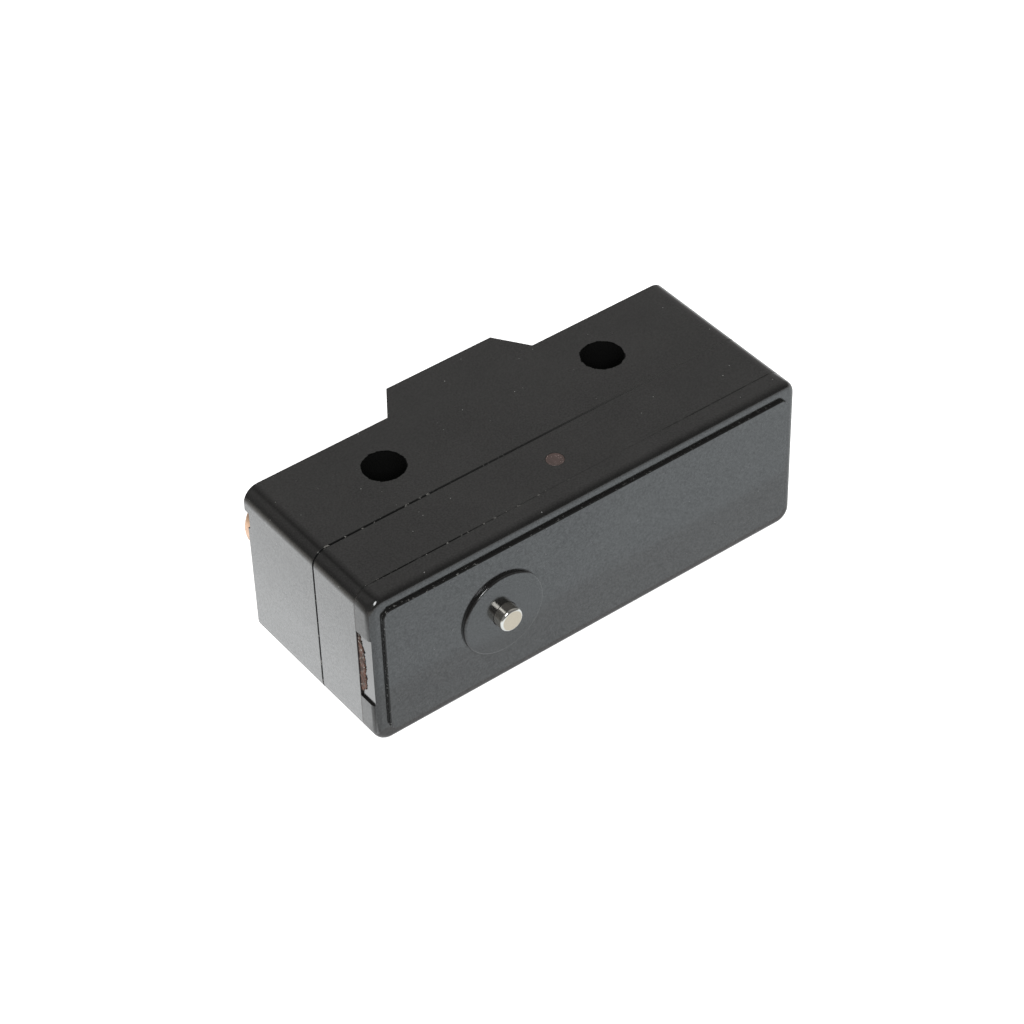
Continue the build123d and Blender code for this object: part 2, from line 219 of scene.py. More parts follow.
# each joint: its place and width, how broken, where it is whole, where dusty, and how dark along x; the dark
# is painted shade in the groove, save the brown of the second joint on the cover's end, which is brown resin
nowhere = (30 * mm, 40 * mm)  # past the right end
joints = (
    {"y": -5.65 * mm, "half": 0.085 * mm, "soft": 0.07 * mm, "broken": (0.26, 0.38),
     "whole": (-6 * mm, 2 * mm), "dust": (0, 14 * mm), "chips": 0.62, "chipsTo": 0,
     "end": 1.0, "dark": (0.0006, 0.0006, 0.0006), "endDark": (0.0006, 0.0006, 0.0006),
     "fade": ((-24, 1.0), (-14, 0.9), (0, 0.5), (8, 0.3), (16, 0.06), (25, 0.02))},
    {"y": -12.0 * mm, "half": 0.055 * mm, "soft": 0.05 * mm, "broken": (0.40, 0.52),
     "whole": nowhere, "dust": nowhere, "chips": 0.645, "chipsTo": 4 * mm,
     "end": 0.42, "dark": (0.0010, 0.0010, 0.0010), "endDark": (0.020, 0.012, 0.009),
     "fade": ((-24, 0.3), (-21, 1.0), (-13, 0.9), (-8, 0.3), (-3, 0.14), (6, 0.14), (12, 0.55), (25, 0.45))},
)
# painted shade in the two mounting holes: their walls darker and less shiny, and a ragged ring round each
# mouth painted near black with little shine
holeShade = {
    "x": 12.7 * mm,
    "radius": 2.1 * mm,
    "wallTo": 2.12 * mm,
    # painted shade on the hole's wall: this colour and the shine below
    "wallShade": (0.006, 0.006, 0.0058),
    "wallShine": 0.3,
    "ragged": (1500, 3, 0.65),
    "raggedSpan": (0.42, 0.72),
    "wander": 0.16 * mm,
    "above": 17.38 * mm,
    # painted shade round the mouth: this colour and the shine below
    "color": (0.0015, 0.0015, 0.0015),
    "shine": 0.05,
}
# the cover's left end, whose shine is a share of the case's, and the floor of the notch in it
coverEnd = {"y": -12.03 * mm, "x": -24.47 * mm, "soft": 0.06 * mm, "shine": 0.5, "rough": 0.30}
notchFloor = {"x": -24.4 * mm, "near": 0.02 * mm, "yTo": -13.98 * mm, "shine": 0.50}
# painted shade on the step round the raised panel, a darker colour with little shine, and lint caught there,
# with less lint towards the middle
stepShadeAndLint = {
    "from": -14.597 * mm,
    "to": -14.253 * mm,
    # painted shade in the step: this colour and the shine below
    "paintedShade": (0.012, 0.012, 0.0117),
    "shine": 0.14,
    "bits": (3600, 2, 0.6),
    "share": 0.63,
    "fullTo": -22 * mm,
    "thinFrom": 0,
    "thin": 0.25,
    "color": (0.13, 0.13, 0.125),
    "rough": 0.8,
}


def dustDots(graph, points, look):
    # one fine dot in some of the cells
    cells = graph.nodes.new("ShaderNodeTexVoronoi")
    cells.inputs["Scale"].default_value = look["dustCells"]
    graph.links.new(points, cells.inputs["Vector"])
    shade = graph.nodes.new("ShaderNodeSeparateColor")
    graph.links.new(cells.outputs["Color"], shade.inputs[0])
    size = look["dustSize"]
    dot = remap(graph, cells.outputs["Distance"], size * look["dustCore"], size, 1, 0)
    some = over(graph, shade.outputs["Red"], look["dustShare"])
    faint = remap(graph, shade.outputs["Green"], 0, 1, look["dustFaintest"], 1)
    return product(graph, dot, some, faint)


def jointLines(graph, surface, points, x, y):
    # dark and broken lines, painted shade in the grooves between the mouldings, with chips of flash and dust
    # in them
    dashes = noise(graph, points, *jointLook["dashes"])
    chips = noise(graph, points, *jointLook["chips"])
    onTop = remap(graph, x, jointLook["topFrom"], jointLook["topTo"])
    for joint in joints:
        half, lastChip = joint["half"], joint["chipsTo"]
        line = remap(graph, gapTo(graph, y, joint["y"]), half, half + joint["soft"], 1, 0)
        broken = remap(graph, dashes, *joint["broken"], jointLook["faintest"], 1)
        broken = calc(graph, "MAXIMUM", broken, remap(graph, x, *joint["whole"]))
        level = product(graph, broken, rampOf(graph, x, joint["fade"]))
        dark = product(graph, line, mixValue(graph, onTop, joint["end"], level))
        fewer = remap(graph, x, lastChip - jointLook["chipFade"], lastChip, 1, 0)
        chip = product(graph, line, over(graph, chips, joint["chips"]), fewer)
        dusty = product(graph, line, remap(graph, x, *joint["dust"]))
        # painted shade in the groove, and brown resin on the cover's end of the second joint
        coat(graph, surface, dark, color=mixColor(graph, onTop, joint["endDark"], joint["dark"]))
        coat(graph, surface, chip, color=jointLook["chipColor"])
        coat(graph, surface, dusty, color=jointLook["dustColor"])
        both = calc(graph, "MAXIMUM", dark, chip)
        coat(graph, surface, both, rough=jointLook["rough"], shine=jointLook["shine"])


def paintHoleShade(graph, surface, points, x, y, z):
    beside = calc(graph, "SUBTRACT", calc(graph, "ABSOLUTE", x), holeShade["x"])
    away = distance(graph, beside, y)
    wall = under(graph, away, holeShade["wallTo"])
    # painted shade on the hole's wall
    coat(graph, surface, wall, color=holeShade["wallShade"], shine=holeShade["wallShine"])
    ragged = noise(graph, points, *holeShade["ragged"])
    radius = holeShade["radius"]
    reach = remap(graph, ragged, *holeShade["raggedSpan"], radius, radius + holeShade["wander"])
    rim = product(graph, under(graph, away, reach), over(graph, z, holeShade["above"]))
    # painted shade: a ragged ring round the hole's mouth, near black with little shine
    coat(graph, surface, rim, color=holeShade["color"], shine=holeShade["shine"])


def coverFaces(graph, surface, points, x, y):
    # the dull left end, the bright floor of its notch, and the painted shade and lint on the step round the
    # panel
    cover = under(graph, y, coverEnd["y"])
    atEnd = remap(graph, x, coverEnd["x"], coverEnd["x"] + coverEnd["soft"], 1, 0)
    duller = product(graph, surface["shine"], coverEnd["shine"])
    coat(graph, surface, product(graph, atEnd, cover), shine=duller, rough=coverEnd["rough"])
    level = under(graph, gapTo(graph, x, notchFloor["x"]), notchFloor["near"])
    bright = product(graph, level, cover, over(graph, y, notchFloor["yTo"]))
    coat(graph, surface, bright, shine=notchFloor["shine"])
    onStep = product(graph, over(graph, y, stepShadeAndLint["from"]), under(graph, y, stepShadeAndLint["to"]))
    # painted shade: the step is given a darker colour and little shine
    coat(graph, surface, onStep, color=stepShadeAndLint["paintedShade"], shine=stepShadeAndLint["shine"])
    bits = over(graph, noise(graph, points, *stepShadeAndLint["bits"]), stepShadeAndLint["share"])
    fewer = remap(graph, x, stepShadeAndLint["fullTo"], stepShadeAndLint["thinFrom"], 1, stepShadeAndLint["thin"])
    bits = product(graph, bits, onStep, fewer)
    coat(graph, surface, bits, color=stepShadeAndLint["color"], rough=stepShadeAndLint["rough"])


def blackResin(name, look):
    material, graph, shader = newMaterial(name)
    points = objectPoints(graph)
    x, y, z = axes(graph, points)
    cloud = noise(graph, points, *look["cloud"])
    grain = noise(graph, points, *look["grain"])
    surface = {
        "color": mixColor(graph, remap(graph, cloud, *midSpan), look["dark"], look["pale"]),
        "rough": remap(graph, cloud, *wideSpan, *look["rough"]),
        "shine": remap(graph, grain, *wideSpan, *look["grainShine"]),
    }
    dust = dustDots(graph, points, look)
    coat(graph, surface, dust, color=look["dustColor"], rough=look["dustRough"])
    jointLines(graph, surface, points, x, y)
    paintHoleShade(graph, surface, points, x, y, z)
    coverFaces(graph, surface, points, x, y)
    graph.links.new(surface["color"], shader.inputs["Base Color"])
    graph.links.new(surface["rough"], shader.inputs["Roughness"])
    graph.links.new(surface["shine"], shader.inputs["Specular IOR Level"])
    shader.inputs["IOR"].default_value = look["ior"]
    wavy = bump(graph, noise(graph, points, *look["ripple"]), look["relief"], look["rippleDepth"])
    grainy = bump(graph, grain, look["relief"], look["grainDepth"], wavy)
    graph.links.new(grainy, shader.inputs["Normal"])
    return material


# metals: a color, its shade in the clouds and its worn edges; haze is the share that isn't metallic
metalLook = {
    "cloud": (600, 4, 0.6),
    "fine": (9000, 2, 0.5),
    "relief": 0.4,
    "depth": 0.003 * mm,
    "edge": 0.06 * mm,
    "edgeSamples": 4,
    "edgeSpan": (0.80, 0.99),  # how alike the rounded and the plain normal are, from edge to flat
    "edgePolish": 0.8,
    "haze": 0,
    "tip": None,
}
# the round face at the end of the pin, painted darker and beige as painted shade and reflection, and the
# rounding about it painted brighter as a painted highlight
pinTipPaintedLight = {
    "y": pinLow.y + 0.22 * mm,
    "radius": 1.10 * mm,
    "soft": 0.12 * mm,
    # painted shade and reflection on the flat face, then the painted highlight on the rounding
    "face": (0.420, 0.366, 0.290),
    "ring": (0.58, 0.57, 0.54),
}
metalLooks = {
    "brightSteel": {"color": (0.48, 0.46, 0.42), "shade": (0.43, 0.41, 0.37), "worn": (0.58, 0.57, 0.54),
                    "rough": (0.07, 0.12), "edge": 0.03 * mm, "haze": 0.12, "tip": pinTipPaintedLight},
    "terminalBrass": {"color": (0.72, 0.52, 0.25), "shade": (0.58, 0.40, 0.19), "worn": (0.85, 0.68, 0.40),
                      "rough": (0.22, 0.34)},
    "screwBrass": {"color": (0.50, 0.33, 0.22), "shade": (0.40, 0.25, 0.17), "worn": (0.62, 0.46, 0.33),
                   "rough": (0.34, 0.46)},
    "springCopper": {"color": (0.75, 0.42, 0.25), "shade": (0.62, 0.34, 0.19), "worn": (0.85, 0.55, 0.36),
                     "rough": (0.2, 0.3)},
    "contactSilver": {"color": (0.82, 0.81, 0.78), "shade": (0.66, 0.65, 0.62), "worn": (0.92, 0.91, 0.88),
                      "rough": (0.2, 0.35)},
}


def edgeWear(graph, look):
    # 1 along the edges, 0 on the flats, and the normal that rounds the edges
    rounded = graph.nodes.new("ShaderNodeBevel")
    rounded.samples = look["edgeSamples"]
    rounded.inputs["Radius"].default_value = look["edge"]
    plain = graph.nodes.new("ShaderNodeNewGeometry")
    same = graph.nodes.new("ShaderNodeVectorMath")
    same.operation = "DOT_PRODUCT"
    graph.links.new(rounded.outputs["Normal"], same.inputs[0])
    graph.links.new(plain.outputs["Normal"], same.inputs[1])
    return remap(graph, same.outputs["Value"], *look["edgeSpan"], 1, 0), rounded.outputs["Normal"]


def paintTipLight(graph, points, base, tip):
    # painted shade on the flat face and a painted highlight on the rounding about it
    x, y, z = axes(graph, points)
    across, along = calc(graph, "SUBTRACT", x, pinMiddle.x), calc(graph, "SUBTRACT", z, pinMiddle.z)
    away = distance(graph, across, along)
    outer = remap(graph, away, tip["radius"] - tip["soft"], tip["radius"])
    face = mixColor(graph, outer, tip["face"], tip["ring"])
    return mixColor(graph, under(graph, y, tip["y"]), base, face)


def metal(name, look):
    # rolled or turned metal, dulled in clouds and rubbed bright along its edges
    look = {**metalLook, **look}
    material, graph, shader = newMaterial(name)
    points = objectPoints(graph)
    cloud = remap(graph, noise(graph, points, *look["cloud"]), *midSpan)
    fine = noise(graph, points, *look["fine"])
    wear, rounded = edgeWear(graph, look)
    base = mixColor(graph, cloud, look["color"], look["shade"])
    # the pin's tip gets its painted shade and painted highlight
    if look["tip"]:
        base = paintTipLight(graph, points, base, look["tip"])
    rough = remap(graph, fine, *wideSpan, *look["rough"])
    rough = mixValue(graph, wear, rough, look["rough"][0] * look["edgePolish"])
    graph.links.new(mixColor(graph, wear, base, look["worn"]), shader.inputs["Base Color"])
    graph.links.new(rough, shader.inputs["Roughness"])
    shader.inputs["Metallic"].default_value = 1 - look["haze"]
    worked = bump(graph, fine, look["relief"], look["depth"], rounded)
    graph.links.new(worked, shader.inputs["Normal"])
    return material


# brown sealing resin: clouded, spotted and lumpy
sealLook = {
    "cloud": (2600, 4, 0.7),
    "spots": (5200, 3, 0.6),
    "spotPolish": 0.7,
    "ior": 1.5,
    "relief": 0.8,
}
stripLook = {
    "color": (0.122, 0.055, 0.035),
    "shade": (0.022, 0.014, 0.011),
    "spot": (0.42, 0.38, 0.33),
    "spotSpan": (0.60, 0.66),
    "rough": 0.75,
    "depth": 0.04 * mm,
}
plugLook = {
    "color": (0.079, 0.052, 0.047),
    "shade": (0.063, 0.041, 0.036),
    "spot": (0.24, 0.18, 0.17),
    "spotSpan": (0.605, 0.66),
    "rough": 0.45,
    "depth": 0.01 * mm,
}


def sealResin(name, look):
    look = {**sealLook, **look}
    material, graph, shader = newMaterial(name)
    points = objectPoints(graph)
    cloud = noise(graph, points, *look["cloud"])
    spots = remap(graph, noise(graph, points, *look["spots"]), *look["spotSpan"])
    base = mixColor(graph, remap(graph, cloud, *narrowSpan), look["color"], look["shade"])
    rough = remap(graph, spots, 0, 1, look["rough"], look["rough"] * look["spotPolish"])
    graph.links.new(mixColor(graph, spots, base, look["spot"]), shader.inputs["Base Color"])
    graph.links.new(rough, shader.inputs["Roughness"])
    shader.inputs["IOR"].default_value = look["ior"]
    graph.links.new(bump(graph, cloud, look["relief"], look["depth"]), shader.inputs["Normal"])
    return material


caseResin = blackResin("blackCaseResin", resinLook)
coverResin = blackResin("blackCoverResin", {**resinLook, "ripple": (260, 2, 0.5), "rough": (0.13, 0.19)})
stripResin = sealResin("brownStripResin", stripLook)
plugResin = sealResin("brownPlugResin", plugLook)
metals = {name: metal(name, look) for name, look in metalLooks.items()}

finish = {
    "case_resin": caseResin,
    "cover_resin": coverResin,
    "foot_resin": coverResin,
    "brown_resin": plugResin,
    "pin_steel": metals["brightSteel"],
    "plunger_steel": metals["brightSteel"],
    "terminal_brass": metals["terminalBrass"],
    "screw_brass": metals["screwBrass"],
    "washer_brass": metals["terminalBrass"],
    "spring_copper": metals["springCopper"],
    "contact_silver": metals["contactSilver"],
}
for part in frame["record"]["subparts"]:
    for materialSlot in nodes[part["node"]].material_slots:
        materialSlot.material = finish[part["material_slot"]]
print("materials assigned")


# helpers for modelling by hand

# how far a face's normal points along an axis where the face looks that way
exactly, mostly, roughly = 0.999, 0.9, 0.3


def onlyActive(piece):
    bpy.ops.object.select_all(action="DESELECT")
    piece.select_set(True)
    bpy.context.view_layer.objects.active = piece


def pickFaces(test):
    # in edit mode, with only the faces selected that pass the test
    bpy.ops.object.mode_set(mode="OBJECT")
    bpy.context.tool_settings.mesh_select_mode = (False, False, True)
    mesh = bpy.context.active_object.data
    for item in (*mesh.vertices, *mesh.edges):
        item.select = False
    for face in mesh.polygons:
        face.select = test(face.center, face.normal)
    bpy.ops.object.mode_set(mode="EDIT")


def pickEdges(test):
    # in edit mode, with only the edges selected whose two ends pass the test
    bpy.ops.object.mode_set(mode="OBJECT")
    bpy.context.tool_settings.mesh_select_mode = (False, True, False)
    mesh = bpy.context.active_object.data
    for item in (*mesh.vertices, *mesh.polygons):
        item.select = False
    for edge in mesh.edges:
        edge.select = test(*[mesh.vertices[i].co for i in edge.vertices])
    bpy.ops.object.mode_set(mode="EDIT")


def leaveEdit():
    bpy.ops.mesh.select_all(action="SELECT")
    bpy.ops.mesh.normals_make_consistent(inside=False)
    bpy.ops.object.mode_set(mode="OBJECT")


def settlePlace(piece, name):
    # keeps the piece's place in its mesh
    piece.name = name
    bpy.ops.object.transform_apply(location=True, rotation=True, scale=True)
    return piece


def newRod(name, radius, back, front, x, z, sides):
    # a round bar along y
    bpy.ops.object.select_all(action="DESELECT")
    bpy.ops.mesh.primitive_cylinder_add(vertices=sides, radius=radius, depth=back - front,
                                        location=(x, (back + front) / 2, z), rotation=(math.pi / 2, 0, 0))
    return settlePlace(bpy.context.active_object, name)


def newBlock(name, size, place):
    bpy.ops.object.select_all(action="DESELECT")
    bpy.ops.mesh.primitive_cube_add(size=1, location=place, scale=size)
    return settlePlace(bpy.context.active_object, name)


def cutWith(piece, cutter):
    onlyActive(piece)
    cut = piece.modifiers.new("cut", "BOOLEAN")
    cut.operation = "DIFFERENCE"
    cut.solver = "EXACT"
    cut.object = cutter
    bpy.ops.object.modifier_apply(modifier="cut")
    bpy.data.objects.remove(cutter)


def roundEdges(piece, width, segments, angle=40):
    onlyActive(piece)
    edges = piece.modifiers.new("edges", "BEVEL")
    edges.width = width
    edges.segments = segments
    edges.limit_method = "ANGLE"
    edges.angle_limit = math.radians(angle)
    bpy.ops.object.modifier_apply(modifier="edges")


def smooth(piece, angle=35):
    # smooth shading that leaves the large faces flat
    onlyActive(piece)
    bpy.ops.object.shade_smooth_by_angle(angle=math.radians(angle))
    weights = piece.modifiers.new("weights", "WEIGHTED_NORMAL")
    weights.keep_sharp = True
    bpy.ops.object.modifier_apply(modifier="weights")


def settle(piece, body, node, material):
    # gives a finished piece its body and one slot with its finish, and hides the node it stands in for
    piece.data.materials.clear()
    piece.data.materials.append(material)
    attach(piece, body)
    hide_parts(node)


# mouldings: the solids' own shape with every sharp edge rounded

mouldings = {
    "base_case": {"name": "baseCase", "width": 0.06 * mm, "segments": 2, "material": caseResin},
    "middle_case": {"name": "middleCase", "width": 0.05 * mm, "segments": 2, "material": caseResin},
    "front_cover": {"name": "frontCover", "width": 0.08 * mm, "segments": 3, "material": coverResin},
}
flat = math.radians(0.5)  # facets that meet at less than this are one face
# the rim of the boss on the cover, with a larger rounding that is made first
boss = {"front": -14.9 * mm, "outside": 4 * mm, "edge": 0.2 * mm, "steps": 4}
# the lower end of the notch in the cover, which moves down
notchEnd = {"x": -24.35 * mm, "lowest": 2 * mm, "highest": 9 * mm, "drop": 0.55 * mm}


def bossRim(*ends):
    return all(end.y < boss["front"] and math.hypot(end.x - pinMiddle.x, end.z - pinMiddle.z) > boss["outside"]
               for end in ends)


def notchWall(place, normal):
    inNotch = place.x < notchEnd["x"] and notchEnd["lowest"] < place.z < notchEnd["highest"]
    return inNotch and normal.z > mostly


for node, look in mouldings.items():
    onlyActive(nodes[node])
    bpy.ops.object.duplicate()
    piece = bpy.context.active_object
    piece.name = look["name"]
    bpy.ops.object.mode_set(mode="EDIT")
    bpy.ops.mesh.select_all(action="SELECT")
    bpy.ops.mesh.remove_doubles(threshold=hair)
    bpy.ops.mesh.customdata_custom_splitnormals_clear()
    bpy.ops.mesh.select_all(action="SELECT")
    bpy.ops.mesh.dissolve_limited(angle_limit=flat)
    if node == "front_cover":
        pickFaces(notchWall)
        bpy.ops.transform.translate(value=(0, 0, -notchEnd["drop"]))
        pickEdges(bossRim)
        bpy.ops.mesh.bevel(offset=boss["edge"], segments=boss["steps"])
        bpy.ops.mesh.select_all(action="SELECT")
    leaveEdit()
    roundEdges(piece, look["width"], look["segments"])
    smooth(piece)
    settle(piece, "housing", node, look["material"])
print("mouldings ready")


# plunger pin: turned, with a rounded working end and the spigot for its foot

pin = {
    "sides": 96,
    "edge": 0.32 * mm,
    "edgeSteps": 8,
    "face": 0.35,
    "crown": 0.012 * mm,
    "spigotRadius": 0.8 * mm,
    "spigotLength": 1.1 * mm,
    "spigotEdge": 0.1 * mm,
}
pinRadius = (pinHigh.x - pinLow.x) / 2
shaftEnd = pinHigh.y - pin["spigotLength"]
plungerPin = newRod("plungerPin", pinRadius, shaftEnd, pinLow.y, pinMiddle.x, pinMiddle.z, pin["sides"])
pickFaces(lambda place, normal: normal.y > mostly)
bpy.ops.mesh.inset(thickness=pinRadius - pin["spigotRadius"])
bpy.ops.mesh.extrude_region_move(TRANSFORM_OT_translate={"value": (0, pin["spigotLength"], 0)})
bpy.ops.mesh.bevel(offset=pin["spigotEdge"], segments=2)
pickEdges(lambda a, b: max(a.y, b.y) < pinLow.y + hair)
bpy.ops.mesh.bevel(offset=pin["edge"], segments=pin["edgeSteps"])
pickFaces(lambda place, normal: normal.y < -exactly)
bpy.ops.mesh.inset(thickness=pinRadius * pin["face"])
bpy.ops.transform.translate(value=(0, pin["crown"], 0))  # a shallow dish left by turning
leaveEdit()
smooth(plungerPin)
settle(plungerPin, "plunger", "pin_plunger", metals["brightSteel"])
print("plunger pin ready")


# terminal screws: pan head with a slot and a cross, and a rolled thread

screw = {
    "sides": 72,
    "headHeight": 3.05 * mm,
    "edge": 0.55 * mm,
    "edgeSteps": 6,
    "slotReach": 2.4,  # in head radii, so the slot runs right across
    "slotWidth": 1.0 * mm,
    "slotDepth": 1.1 * mm,
    "crossLength": 4.2 * mm,
    "crossWidth": 0.9 * mm,
    "crossDepth": 1.7 * mm,
    "crossTaper": 0.55,
    "breakEdge": 0.05 * mm,
    "tip": 0.3 * mm,
    "coreRadius": 1.62 * mm,
    "threadRadius": 1.93 * mm,
    "threadDeep": 0.78,
    "threadBroad": 1.15,
    "threadTurns": 5,
    "threadSteps": 40,
    "threadStart": 0.3 * mm,
    "pitch": 0.7 * mm,
}
screws = {
    "com_screw": {"name": "commonScrew", "body": "com_clamp_screw", "turn": -30},
    "nc_screw": {"name": "closedScrew", "body": "nc_clamp_screw", "turn": -35},
    "no_screw": {"name": "openScrew", "body": "no_clamp_screw", "turn": 50},
}
low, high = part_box("com_screw")
headRadius = (high.x - low.x) / 2
headTop = screw["headHeight"]
shankEnd = headTop - (high.y - low.y)

# one screw along y with its seat at y = 0
pattern = newRod("screwPattern", headRadius, headTop, 0, 0, 0, screw["sides"])
pickEdges(lambda a, b: min(a.y, b.y) > headTop - hair)
bpy.ops.mesh.bevel(offset=screw["edge"], segments=screw["edgeSteps"])
pickFaces(lambda place, normal: normal.y < -mostly)
bpy.ops.mesh.inset(thickness=headRadius - screw["coreRadius"])
bpy.ops.mesh.extrude_region_move(TRANSFORM_OT_translate={"value": (0, shankEnd, 0)})
pickEdges(lambda a, b: max(a.y, b.y) < shankEnd + hair)
bpy.ops.mesh.bevel(offset=screw["tip"], segments=1)
leaveEdit()
slotSize = (screw["slotReach"] * headRadius, 2 * screw["slotDepth"], screw["slotWidth"])
cutWith(pattern, newBlock("slotCutter", slotSize, (0, headTop, 0)))
for along in (0, 1):
    size = [screw["crossWidth"], 2 * screw["crossDepth"], screw["crossWidth"]]
    size[2 * along] = screw["crossLength"]
    cutter = newBlock("crossCutter", size, (0, headTop, 0))
    pickFaces(lambda place, normal: normal.y < -mostly)
    bpy.ops.transform.resize(value=(screw["crossTaper"], 1, screw["crossTaper"]))
    bpy.ops.object.mode_set(mode="OBJECT")
    cutWith(pattern, cutter)
roundEdges(pattern, screw["breakEdge"], 2)

# the thread is a small triangle wound round the core
bpy.ops.object.select_all(action="DESELECT")
rise = screw["threadRadius"] - screw["coreRadius"]
bpy.ops.mesh.primitive_circle_add(vertices=3, radius=rise, fill_type="NOTHING",
                                  rotation=(math.pi / 2, math.pi / 2, 0))
thread = settlePlace(bpy.context.active_object, "screwThread")
bpy.ops.object.mode_set(mode="EDIT")
bpy.ops.mesh.select_all(action="SELECT")
bpy.ops.transform.resize(value=(screw["threadDeep"], 1, screw["threadBroad"]), center_override=(0, 0, 0))
bpy.ops.transform.translate(value=(screw["threadRadius"] - screw["threadDeep"] * rise, 0, 0))
bpy.ops.object.mode_set(mode="OBJECT")
winding = thread.modifiers.new("winding", "SCREW")
winding.screw_offset = screw["pitch"] * screw["threadTurns"]
winding.angle = 2 * math.pi * screw["threadTurns"]
winding.steps = screw["threadSteps"] * screw["threadTurns"]
winding.render_steps = winding.steps
bpy.ops.object.modifier_apply(modifier="winding")
thread.rotation_euler = (math.pi / 2, 0, 0)
bpy.ops.object.transform_apply(rotation=True)
bpy.ops.object.mode_set(mode="EDIT")
bpy.ops.mesh.select_all(action="SELECT")
bpy.ops.mesh.fill_holes(sides=3)
leaveEdit()
threadTop = max(vertex.co.y for vertex in thread.data.vertices)
thread.location = (0, -screw["threadStart"] - threadTop, 0)
bpy.ops.object.transform_apply(location=True)
pattern.select_set(True)
bpy.context.view_layer.objects.active = pattern
bpy.ops.object.join()
smooth(pattern)

for node, look in screws.items():
    low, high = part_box(node)
    onlyActive(pattern)
    bpy.ops.object.duplicate()
    piece = bpy.context.active_object
    piece.rotation_euler = (0, math.radians(look["turn"]), 0)
    piece.location = ((low.x + high.x) / 2, high.y - headTop, (low.z + high.z) / 2)
    settlePlace(piece, look["name"])
    settle(piece, look["body"], node, metals["screwBrass"])
bpy.data.objects.remove(pattern)
print("terminal screws ready")


# broken strip of resin on the floor of the notch

strip = {
    "cutsLong": 60,
    "cutsWide": 6,
    "taper": 2.0 * mm,
    "taperSteps": 8,
    "taperStep": 0.07 * mm,
    "heel": 0.36 * mm,
    "heelBack": 0.42 * mm,
    "jag": 0.10 * mm,
    "jagSeed": 3,
    "thin": 0.4,
    "lump": 0.025 * mm,
    "lumpSeed": 8,
    "smooth": 60,
}
low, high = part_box("end_seal")
size = high - low
resinStrip = newBlock("resinStrip", size, (low + high) / 2)
pickEdges(lambda a, b: abs((a - b).z) > size.z / 2)
bpy.ops.mesh.subdivide(number_cuts=strip["cutsLong"])
# the front edge draws back towards the upper end and at the heel, and is broken off unevenly
for step in range(strip["taperSteps"]):
    above = high.z - strip["taper"] * (1 - step / strip["taperSteps"])
    pickFaces(lambda place, normal: normal.y < -roughly and place.z > above)
    bpy.ops.transform.translate(value=(0, strip["taperStep"], 0))
pickFaces(lambda place, normal: normal.y < -roughly and place.z < low.z + strip["heel"])
bpy.ops.transform.translate(value=(0, strip["heelBack"], 0))
pickFaces(lambda place, normal: normal.y < -roughly)
bpy.ops.transform.vertex_random(offset=strip["jag"], uniform=1, seed=strip["jagSeed"])
bpy.ops.transform.translate(value=(0, strip["jag"], 0))
bpy.ops.transform.resize(value=(strip["thin"], 1, 1))
# the lumps on its face
pickEdges(lambda a, b: (a.y > high.y - hair) != (b.y > high.y - hair))
bpy.ops.mesh.subdivide(number_cuts=strip["cutsWide"])
pickFaces(lambda place, normal: normal.x < -roughly)
bpy.ops.transform.translate(value=(strip["lump"], 0, 0))
bpy.ops.transform.vertex_random(offset=strip["lump"], uniform=1, seed=strip["lumpSeed"])
leaveEdit()
smooth(resinStrip, strip["smooth"])
settle(resinStrip, "housing", "end_seal", stripResin)
print("resin strip ready")


# resin plug: a shallow dish inside a raised rim

dishedPlug = {
    "sides": 40,
    "edge": 0.03 * mm,
    "rim": 0.11 * mm,
    "dish": 0.05 * mm,
    "uneven": 0.02 * mm,
    "seed": 2,
    "hollow": 0.3,  # of the radius, and how much of the dish it sinks further
    "hollowDish": 0.4,
    "smooth": 60,
}
low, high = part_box("seal_plug")
plugRadius = (high.x - low.x) / 2
bpy.ops.object.select_all(action="DESELECT")
bpy.ops.mesh.primitive_cylinder_add(vertices=dishedPlug["sides"], radius=plugRadius, depth=high.z - low.z,
                                    location=(low + high) / 2)
resinPlug = settlePlace(bpy.context.active_object, "resinPlug")
pickEdges(lambda a, b: min(a.z, b.z) > high.z - hair)
bpy.ops.mesh.bevel(offset=dishedPlug["edge"], segments=2)
pickFaces(lambda place, normal: normal.z > exactly)
bpy.ops.mesh.inset(thickness=dishedPlug["rim"])
bpy.ops.transform.translate(value=(0, 0, -dishedPlug["dish"]))
bpy.ops.transform.vertex_random(offset=dishedPlug["uneven"], uniform=1, seed=dishedPlug["seed"])
bpy.ops.mesh.inset(thickness=plugRadius * dishedPlug["hollow"])
bpy.ops.transform.translate(value=(0, 0, -dishedPlug["dish"] * dishedPlug["hollowDish"]))
leaveEdit()
smooth(resinPlug, dishedPlug["smooth"])
settle(resinPlug, "housing", "seal_plug", plugResin)
print("resin plug ready")


# floor, world and lamps

room = {
    "floorSize": 4.0,
    "floorPale": 0.8,
    "floorRough": 0.9,
    "floorGlow": 0.82,
    "leftEnd": 60 * mm,
    "warmFrom": -42 * mm,
    "warmTo": -62 * mm,
    "warm": (1.0, 0.97, 0.90),
    "skyTowards": (0.456, 0.570, 0.684),
    "skyFrom": 0.15,
    "skyTo": 0.95,
    "skyLow": 0.10,
    "skyHigh": 0.52,
    "skyFill": 0.6,
    "skyTint": (1.0, 0.985, 0.965),
    # how the glow changes across the room, from left to right, with a beam as a dark stripe
    "skyAcross": ((-1.0, 1.9), (-0.80, 1.9), (-0.71, 1.75), (-0.60, 1.42), (-0.46, 1.15), (-0.36, 0.95),
                  (-0.28, 0.5), (-0.15, 0.26), (-0.04, 0.45), (0.06, 0.62), (0.29, 0.80), (0.40, 0.97),
                  (0.50, 0.91), (1.0, 0.91)),
    "skyMost": 2.0,  # a color ramp ends at 1, so it holds shares of this
}


